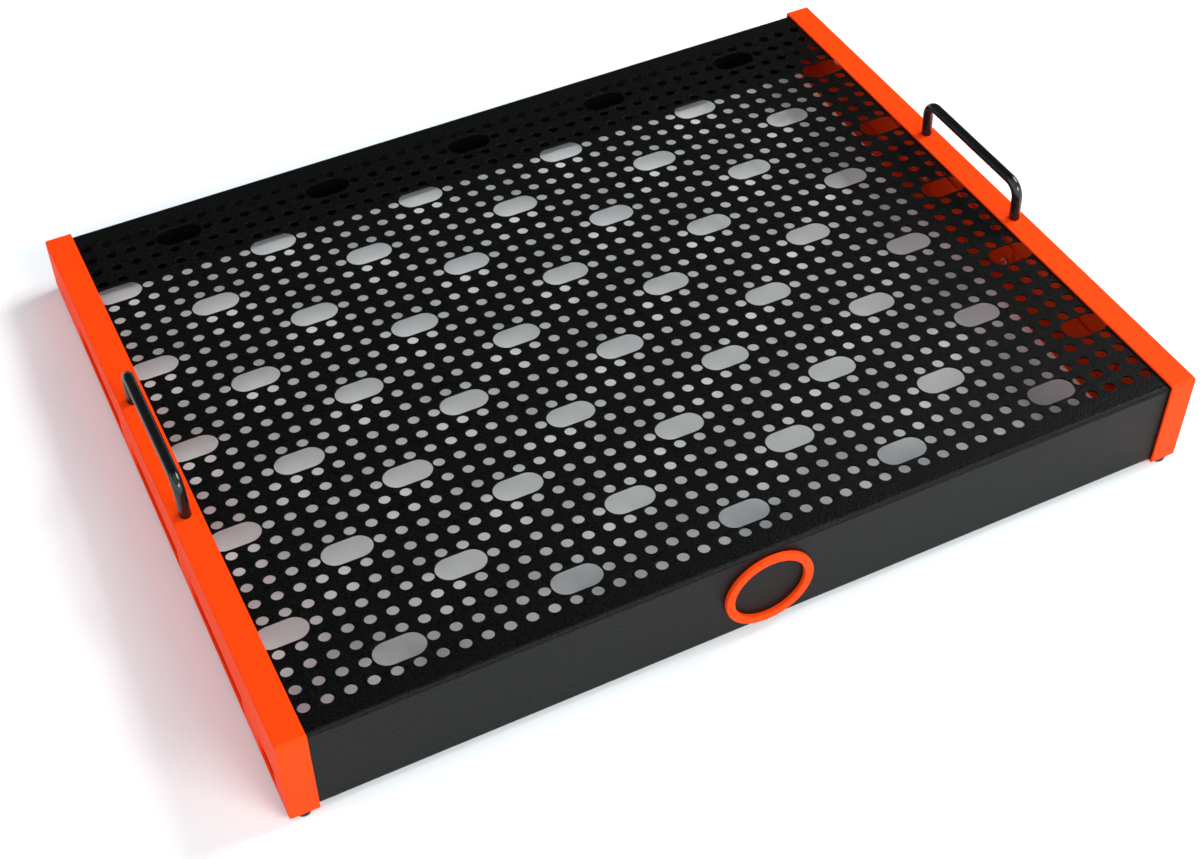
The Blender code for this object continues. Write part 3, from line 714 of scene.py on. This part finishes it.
def small_pieces(side, hand):
    """Fasteners, blanking plates and feet of one bracket."""
    washer_z = UNDER_DECK - 0.8 * MM
    seat_z = washer_z - GAP
    for v, end in zip(HANDLE_V, ("front", "rear")):
        node = f"handle_washer_{hand}_{end}"
        shape = bmesh.new()
        washer(shape, on_deck(side * HANDLE_X, v), 2.3 * MM, 4.5 * MM, washer_z, 0.8 * MM)
        finish_mesh(shape, node + "_ring", "zinc_steel", node, 50.0)
        node = f"handle_screw_{hand}_{end}"
        shape = bmesh.new()
        socket_screw(shape, on_deck(side * HANDLE_X, v, seat_z), M4_R, 3.8 * MM, 2.6 * MM,
                     -seat_z + 7.5 * MM)
        finish_mesh(shape, node + "_turned", "zinc_steel", node, 35.0)
    for number, v in enumerate(DECK_STUD_V, 1):
        node = f"deck_nut_{hand}_{number}"
        shape = bmesh.new()
        below = on_deck(side * DECK_STUD_X, v, UNDER_DECK) @ Matrix.Rotation(math.pi, 4, "X")
        hex_nut(shape, below, 7.0 * MM, 2.8 * MM, 2.1 * MM)
        finish_mesh(shape, node + "_hexagon", "zinc_steel", node, 25.0)
    for number, (start, width) in enumerate(BAYS, 1):
        bay_plate(side, hand, number, start, width)
        for place, end in zip(web_stud_places(side, start, width), ("front", "rear")):
            node = f"bay_nut_{hand}_{number}_{end}"
            shape = bmesh.new()
            behind = place @ Matrix.Translation((0, 0, SHEET + 2 * GAP))
            hex_nut(shape, behind, 5.5 * MM, 2.2 * MM, 1.6 * MM)
            finish_mesh(shape, node + "_hexagon", "zinc_steel", node, 25.0)
    for sy, end in ((-1, "front"), (1, "rear")):
        node = f"foot_{hand}_{end}"
        shape = bmesh.new()
        turned(shape, Matrix.Translation((side * FOOT_X, sy * FOOT_Y, 0)),
               in_metres(foot_profile()), 40)
        finish_mesh(shape, node + "_bumper", "rubber", node, 40.0)


def badge():
    """Plain raised ring whose face looks to -Y, with two studs through the apron."""
    inwards = Matrix.Rotation(-math.pi / 2, 4, "X")
    rim, bore, face = 25.8, 20.8, 2.9
    profile = [(bore, -0.3), (rim, -0.3), (rim, 0.7 - face), (rim - 0.06, 0.4 - face),
               (rim - 0.22, 0.18 - face), (rim - 0.45, 0.05 - face), (rim - 0.75, -face),
               (bore + 0.75, -face), (bore + 0.45, 0.05 - face), (bore + 0.22, 0.18 - face),
               (bore + 0.06, 0.4 - face), (bore, 0.7 - face), (bore, -0.3)]
    shape = bmesh.new()
    turned(shape, Matrix.Translation((0, -WALL_Y, BADGE_Z)) @ inwards, in_metres(profile), 128)
    studs = [Matrix.Translation((end * BADGE_STUD_X, -WALL_Y, BADGE_Z)) @ inwards
             for end in (-1, 1)]
    for place in studs:
        turned(shape, place, in_metres([(0, -0.6), (1.5, -0.6), (1.5, 5.1), (1.1, 5.5),
                                        (0, 5.5)]), 24)
    finish_mesh(shape, "badge_ring", "bracket_orange", "badge", 50.0)
    z = (SHEET + GAP) / MM
    profile = [(1.8, z + 0.75), (1.9, z + 0.8), (2.6, z + 0.45), (3.8, z + 0.4), (4.0, z + 0.3),
               (4.0, z + 0.05), (3.9, z), (2.7, z), (1.9, z + 0.4), (1.8, z + 0.45),
               (1.8, z + 0.75)]
    for place, hand in zip(studs, ("left", "right")):
        node = f"badge_push_nut_{hand}"
        shape = bmesh.new()
        turned(shape, place, in_metres(profile), 36)
        finish_mesh(shape, node + "_clip", "zinc_steel", node, 40.0)


deck()
for side, hand in ((-1, "left"), (1, "right")):
    bracket(side, hand + "_bracket")
    handle(side, hand + "_handle")
    small_pieces(side, hand)
badge()

record_slots = {item["node"]: item["material_slot"] for item in frame["record"]["subparts"]}
for name, node in frame["nodes"].items():
    node.data.materials.clear()
    node.data.materials.append(SLOTS[record_slots[name]])

# ---- stage ------------------------------------------------------------------------------
floor_mesh = bpy.data.meshes.new("floor")
shape = bmesh.new()
bmesh.ops.create_grid(shape, x_segments=2, y_segments=2, size=6.0)
shape.to_mesh(floor_mesh)
shape.free()
floor_mesh.materials.append(floor_paper)
floor = bpy.data.objects.new("floor", floor_mesh)
bpy.context.scene.collection.objects.link(floor)

bpy.context.scene.view_settings.view_transform = "Standard"


def studio_world():
    """Cool bright walls under a dark ceiling, bright only on the badge's side."""
    world = bpy.data.worlds.new("studio")
    bpy.context.scene.world = world
    world.use_nodes = True
    tree = world.node_tree
    background = tree.nodes["Background"]
    direction = tree.nodes.new("ShaderNodeTexCoord").outputs["Generated"]
    split = tree.nodes.new("ShaderNodeSeparateXYZ")
    tree.links.new(direction, split.inputs["Vector"])
    wall = (0.88, 1.0, 1.07)
    walls = add_ramp(tree, split.outputs["Z"], (0.0, wall), (0.62, wall), (0.78, grey(0.05)),
                     (0.90, grey(0.01)), (1.0, grey(0.01)))
    toward = tree.nodes.new("ShaderNodeVectorMath")
    toward.operation = "DOT_PRODUCT"
    toward.inputs[1].default_value = (-0.45, -0.89, 0.0)
    tree.links.new(direction, toward.inputs[0])
    half = tree.nodes.new("ShaderNodeMath")
    half.operation = "MULTIPLY_ADD"
    half.inputs[1].default_value = 0.5
    half.inputs[2].default_value = 0.5
    tree.links.new(toward.outputs["Value"], half.inputs[0])
    near_side = add_ramp(tree, half.outputs["Value"], (0.0, grey(0.03)), (0.40, grey(0.10)),
                         (0.58, grey(1.0)))
    both = tree.nodes.new("ShaderNodeVectorMath")
    both.operation = "MULTIPLY"
    tree.links.new(walls, both.inputs[0])
    tree.links.new(near_side, both.inputs[1])
    tree.links.new(both.outputs["Vector"], background.inputs["Color"])
    background.inputs["Strength"].default_value = 1.65


def soft_box(name, azimuth, elevation, distance, size, power, colour=(1, 1, 1)):
    """Square light aimed at the board from an azimuth (0 = +X, 90 = +Y) and an elevation."""
    light = bpy.data.lights.new(name, "AREA")
    light.shape = "RECTANGLE"
    light.size = size[0]
    light.size_y = size[1]
    light.energy = power
    light.color = colour
    around = math.radians(azimuth)
    up = math.radians(elevation)
    place = distance * Vector((math.cos(up) * math.cos(around), math.cos(up) * math.sin(around),
                               math.sin(up)))
    holder = bpy.data.objects.new(name, light)
    holder.location = place
    holder.rotation_euler = (-place).to_track_quat("-Z", "Y").to_euler()
    bpy.context.scene.collection.objects.link(holder)


studio_world()
soft_box("key", 5, 46, 3.2, (1.4, 1.4), 88.0)
soft_box("front", -69, 36, 3.2, (1.5, 0.6), 54.0, (1.0, 0.96, 0.90))
soft_box("overhead", 235, 74, 3.4, (2.6, 2.6), 24.0, (0.88, 1.0, 1.08))

# ---- camera -----------------------------------------------------------------------------
camera_data = bpy.data.cameras.new("camera")
camera_data.sensor_width = 36.0
camera_data.lens = 59.772
camera_data.shift_x = -0.01154
camera_data.shift_y = -0.06239
camera_data.clip_start = 0.05
camera = bpy.data.objects.new("camera", camera_data)
camera.location = (-0.352736, -0.737134, 0.861282)
camera.rotation_euler = (math.radians(43.9122), math.radians(-0.0262), math.radians(-26.4265))
bpy.context.scene.collection.objects.link(camera)
bpy.context.scene.camera = camera
